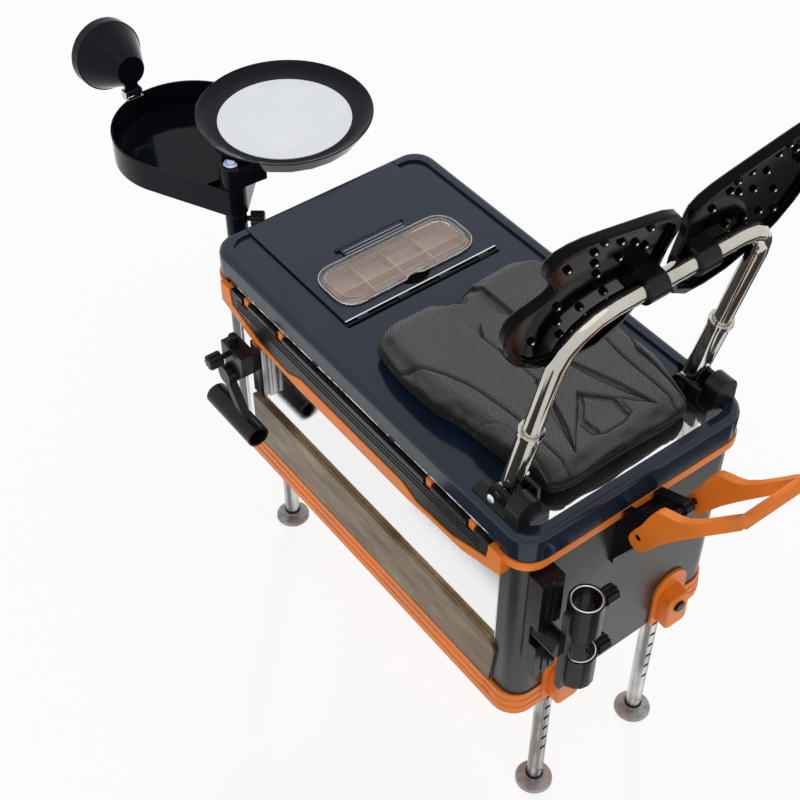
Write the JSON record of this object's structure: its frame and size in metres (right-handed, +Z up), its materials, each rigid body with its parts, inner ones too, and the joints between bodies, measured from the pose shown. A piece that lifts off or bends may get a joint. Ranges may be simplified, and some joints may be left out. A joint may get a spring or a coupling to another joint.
{
  "type": "fishing seat box",
  "caption": "Fishing seat box on telescopic legs with a padded lid seat, folding backrest, bait tray station, umbrella clamp, rod rest and carrying handle.",
  "frame": {"origin": "middle of the case's flat underside", "axes": "+X to the right side as seen by someone behind the box, +Y towards the front with the hatch and the bait station, +Z up"},
  "size_m": [0.4413, 1.254, 1.0169],
  "materials": {
    "case": "gloss",
    "lid": "satin",
    "orange": "satin",
    "black": "satin",
    "rubber": "matte",
    "chrome": "polished",
    "alloy": "satin",
    "bronze": "gloss",
    "smoked": "gloss",
    "fabric": "woven",
    "inlay": "fine grained"
  },
  "bodies": {
    "case": {"body_tub": "case", "base_frame": "orange", "body_trim": "orange", "lid_gasket": "rubber", "left_lower_panel": "bronze", "right_lower_panel": "bronze", "rear_left_lock_housing": "orange", "rear_right_lock_housing": "orange", "front_left_lock_housing": "orange", "front_right_lock_housing": "orange", "handle_bracket": "black", "umbrella_bracket": "black", "rod_rest_rail": "alloy", "tray_bracket": "black"},
    "lid": {"lid_shell": "lid", "left_lid_rod": "alloy", "right_lid_rod": "alloy", "hatch_hinge_rod": "chrome", "seat_cushion": "fabric", "left_backrest_bracket": "black", "right_backrest_bracket": "black"},
    "hatch": {"hatch_panel": "lid", "tackle_tray": "smoked"},
    "window": {"window_cover": "smoked"},
    "left_latch": {"left_latch_bar": "black"},
    "right_latch": {"right_latch_bar": "black"},
    "rear_left_leg_tube": {"rear_left_leg": "alloy"},
    "rear_right_leg_tube": {"rear_right_leg": "alloy"},
    "front_left_leg_tube": {"front_left_leg": "alloy"},
    "front_right_leg_tube": {"front_right_leg": "alloy"},
    "rear_left_foot_pad": {"rear_left_foot": "alloy"},
    "rear_right_foot_pad": {"rear_right_foot": "alloy"},
    "front_left_foot_pad": {"front_left_foot": "alloy"},
    "front_right_foot_pad": {"front_right_foot": "alloy"},
    "rear_left_button": {"rear_left_lock_button": "black"},
    "rear_right_button": {"rear_right_lock_button": "black"},
    "front_left_button": {"front_left_lock_button": "black"},
    "front_right_button": {"front_right_lock_button": "black"},
    "backrest_sleeves": {"left_backrest_sleeve": "chrome", "right_backrest_sleeve": "chrome"},
    "backrest_frame": {"backrest_tube": "chrome"},
    "left_pad": {"left_pad_clamp": "black", "left_back_pad": "black"},
    "right_pad": {"right_pad_clamp": "black", "right_back_pad": "black"},
    "handle": {"carry_handle": "orange"},
    "umbrella_clamp": {"umbrella_arm": "black"},
    "upper_knob": {"upper_umbrella_knob": "black"},
    "lower_knob": {"lower_umbrella_knob": "black"},
    "rod_head": {"rod_rest_head": "black"},
    "rod_tube": {"rod_rest_tube": "black"},
    "rod_knob": {"rod_rest_knob": "black"},
    "bait_post": {"tray_post": "black", "tray_bolt": "chrome"},
    "post_knob": {"tray_post_knob": "black"},
    "dish": {"lower_dish": "black", "cup_clip": "chrome"},
    "upper_tray": {"ring_tray": "black", "ring_disc": "inlay"},
    "cup": {"bait_cup": "black"}
  },
  "joints": [
    {"name": "lid_hinge", "type": "hinge", "parent": "case", "child": "lid", "pos_m": [0.1725, 0, 0.315], "axis": [0, 1, 0], "range_deg": [0, 75]},
    {"name": "hatch_hinge", "type": "hinge", "parent": "lid", "child": "hatch", "pos_m": [0, 0.084, 0.3455], "axis": [1, 0, 0], "range_deg": [0, 95]},
    {"name": "window_hinge", "type": "hinge", "parent": "hatch", "child": "window", "pos_m": [0, 0.203, 0.3524], "axis": [-1, 0, 0], "range_deg": [0, 100]},
    {"name": "left_latch_hinge", "type": "hinge", "parent": "case", "child": "left_latch", "pos_m": [-0.1801, 0, 0.259], "axis": [0, -1, 0], "range_deg": [0, 25]},
    {"name": "right_latch_hinge", "type": "hinge", "parent": "case", "child": "right_latch", "pos_m": [0.1801, 0, 0.259], "axis": [0, 1, 0], "range_deg": [0, 25]},
    {"name": "rear_left_leg_slide", "type": "slide", "parent": "case", "child": "rear_left_leg_tube", "axis": [0, 0, 1], "range_m": [0, 0.2]},
    {"name": "rear_right_leg_slide", "type": "slide", "parent": "case", "child": "rear_right_leg_tube", "axis": [0, 0, 1], "range_m": [0, 0.2]},
    {"name": "front_left_leg_slide", "type": "slide", "parent": "case", "child": "front_left_leg_tube", "axis": [0, 0, 1], "range_m": [0, 0.2]},
    {"name": "front_right_leg_slide", "type": "slide", "parent": "case", "child": "front_right_leg_tube", "axis": [0, 0, 1], "range_m": [0, 0.2]},
    {"name": "rear_left_foot_tilt", "type": "hinge", "parent": "rear_left_leg_tube", "child": "rear_left_foot_pad", "pos_m": [-0.094, -0.29735, -0.24232], "axis": [1, 0, 0], "range_deg": [-12, 12]},
    {"name": "rear_right_foot_tilt", "type": "hinge", "parent": "rear_right_leg_tube", "child": "rear_right_foot_pad", "pos_m": [0.094, -0.29735, -0.24232], "axis": [1, 0, 0], "range_deg": [-12, 12]},
    {"name": "front_left_foot_tilt", "type": "hinge", "parent": "front_left_leg_tube", "child": "front_left_foot_pad", "pos_m": [-0.094, 0.29735, -0.24232], "axis": [1, 0, 0], "range_deg": [-12, 12]},
    {"name": "front_right_foot_tilt", "type": "hinge", "parent": "front_right_leg_tube", "child": "front_right_foot_pad", "pos_m": [0.094, 0.29735, -0.24232], "axis": [1, 0, 0], "range_deg": [-12, 12]},
    {"name": "rear_left_button_press", "type": "slide", "parent": "case", "child": "rear_left_button", "axis": [0, 1, 0], "range_m": [0, 0.0032], "stiffness_N_per_m": 500},
    {"name": "rear_right_button_press", "type": "slide", "parent": "case", "child": "rear_right_button", "axis": [0, 1, 0], "range_m": [0, 0.0032], "stiffness_N_per_m": 500},
    {"name": "front_left_button_press", "type": "slide", "parent": "case", "child": "front_left_button", "axis": [0, -1, 0], "range_m": [0, 0.0032], "stiffness_N_per_m": 500},
    {"name": "front_right_button_press", "type": "slide", "parent": "case", "child": "front_right_button", "axis": [0, -1, 0], "range_m": [0, 0.0032], "stiffness_N_per_m": 500},
    {"name": "backrest_fold", "type": "hinge", "parent": "lid", "child": "backrest_sleeves", "pos_m": [0, -0.25, 0.364], "axis": [1, 0, 0], "range_deg": [-70, 0]},
    {"name": "backrest_height", "type": "slide", "parent": "backrest_sleeves", "child": "backrest_frame", "axis": [0, -0.2164, 0.9763], "range_m": [0, 0.06]},
    {"name": "left_pad_tilt", "type": "hinge", "parent": "backrest_frame", "child": "left_pad", "pos_m": [0, -0.31342, 0.65006], "axis": [1, 0, 0], "range_deg": [0, 25]},
    {"name": "right_pad_tilt", "type": "hinge", "parent": "backrest_frame", "child": "right_pad", "pos_m": [0, -0.31342, 0.65006], "axis": [1, 0, 0], "range_deg": [0, 25]},
    {"name": "handle_swing", "type": "hinge", "parent": "case", "child": "handle", "pos_m": [0, -0.366, 0.322], "axis": [1, 0, 0], "range_deg": [-40, 130]},
    {"name": "umbrella_tilt", "type": "hinge", "parent": "case", "child": "umbrella_clamp", "pos_m": [-0.145, -0.345, 0.188], "axis": [0, 1, 0], "range_deg": [-15, 15]},
    {"name": "upper_knob_turn", "type": "hinge", "parent": "umbrella_clamp", "child": "upper_knob", "pos_m": [-0.09, -0.362, 0.2361], "axis": [1, 0, 0], "range_deg": [-180, 180]},
    {"name": "lower_knob_turn", "type": "hinge", "parent": "umbrella_clamp", "child": "lower_knob", "pos_m": [-0.09, -0.362, 0.13924], "axis": [1, 0, 0], "range_deg": [-180, 180]},
    {"name": "rod_head_slide", "type": "slide", "parent": "case", "child": "rod_head", "axis": [0, 0, 1], "range_m": [-0.03, 0]},
    {"name": "rod_tube_tilt", "type": "hinge", "parent": "rod_head", "child": "rod_tube", "pos_m": [-0.207, 0.25, 0.181], "axis": [1, 0, 0], "range_deg": [-30, 30]},
    {"name": "rod_knob_turn", "type": "hinge", "parent": "rod_head", "child": "rod_knob", "pos_m": [-0.22, 0.254, 0.212], "axis": [1, 0, 0], "range_deg": [-180, 180]},
    {"name": "bait_post_slide", "type": "slide", "parent": "case", "child": "bait_post", "axis": [0, 0, 1], "range_m": [0, 0.06]},
    {"name": "post_knob_turn", "type": "hinge", "parent": "case", "child": "post_knob", "pos_m": [-0.06, 0.40675, 0.27738], "axis": [0.8, -0.6, 0], "range_deg": [-180, 180]},
    {"name": "dish_swing", "type": "hinge", "parent": "bait_post", "child": "dish", "pos_m": [-0.075, 0.418, 0.316], "axis": [0, 0, 1], "range_deg": [0, 80]},
    {"name": "upper_tray_swing", "type": "hinge", "parent": "bait_post", "child": "upper_tray", "pos_m": [-0.075, 0.418, 0.355], "axis": [0, 0, 1], "range_deg": [0, 30]},
    {"name": "cup_tip", "type": "hinge", "parent": "dish", "child": "cup", "pos_m": [-0.0803, 0.684, 0.346], "axis": [1, 0, 0], "range_deg": [0, 95]}
  ]
}
